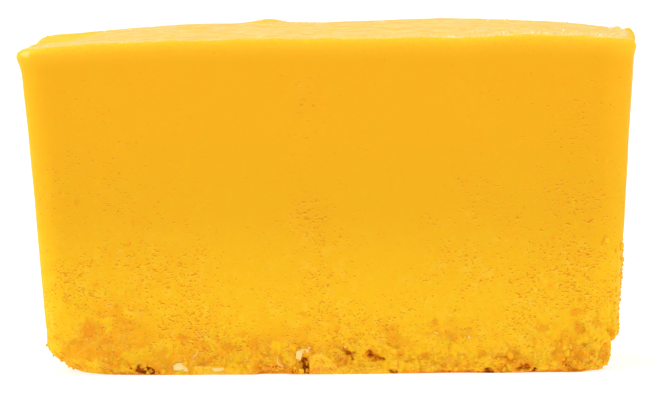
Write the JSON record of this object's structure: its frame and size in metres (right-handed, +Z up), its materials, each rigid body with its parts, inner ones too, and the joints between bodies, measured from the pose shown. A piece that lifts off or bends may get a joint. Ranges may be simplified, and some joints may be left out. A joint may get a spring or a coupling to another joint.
{
  "type": "mango sorbet block",
  "caption": "Block of mango sorbet turned out of a tapered tub, with a smooth face, a soft melted rim and a torn, crumbly foot.",
  "frame": {"origin": "middle of the block's outline, on the flat base it rests on", "axes": "+Z up, +X along the block towards the viewer's right, -Y towards the viewer who faces the long front side"},
  "size_m": [0.1541, 0.0911, 0.0861],
  "materials": {
    "mango_sorbet": "satin, slightly wet, faintly translucent"
  },
  "bodies": {
    "root": {"sorbet_block": "mango_sorbet"}
  },
  "joints": []
}
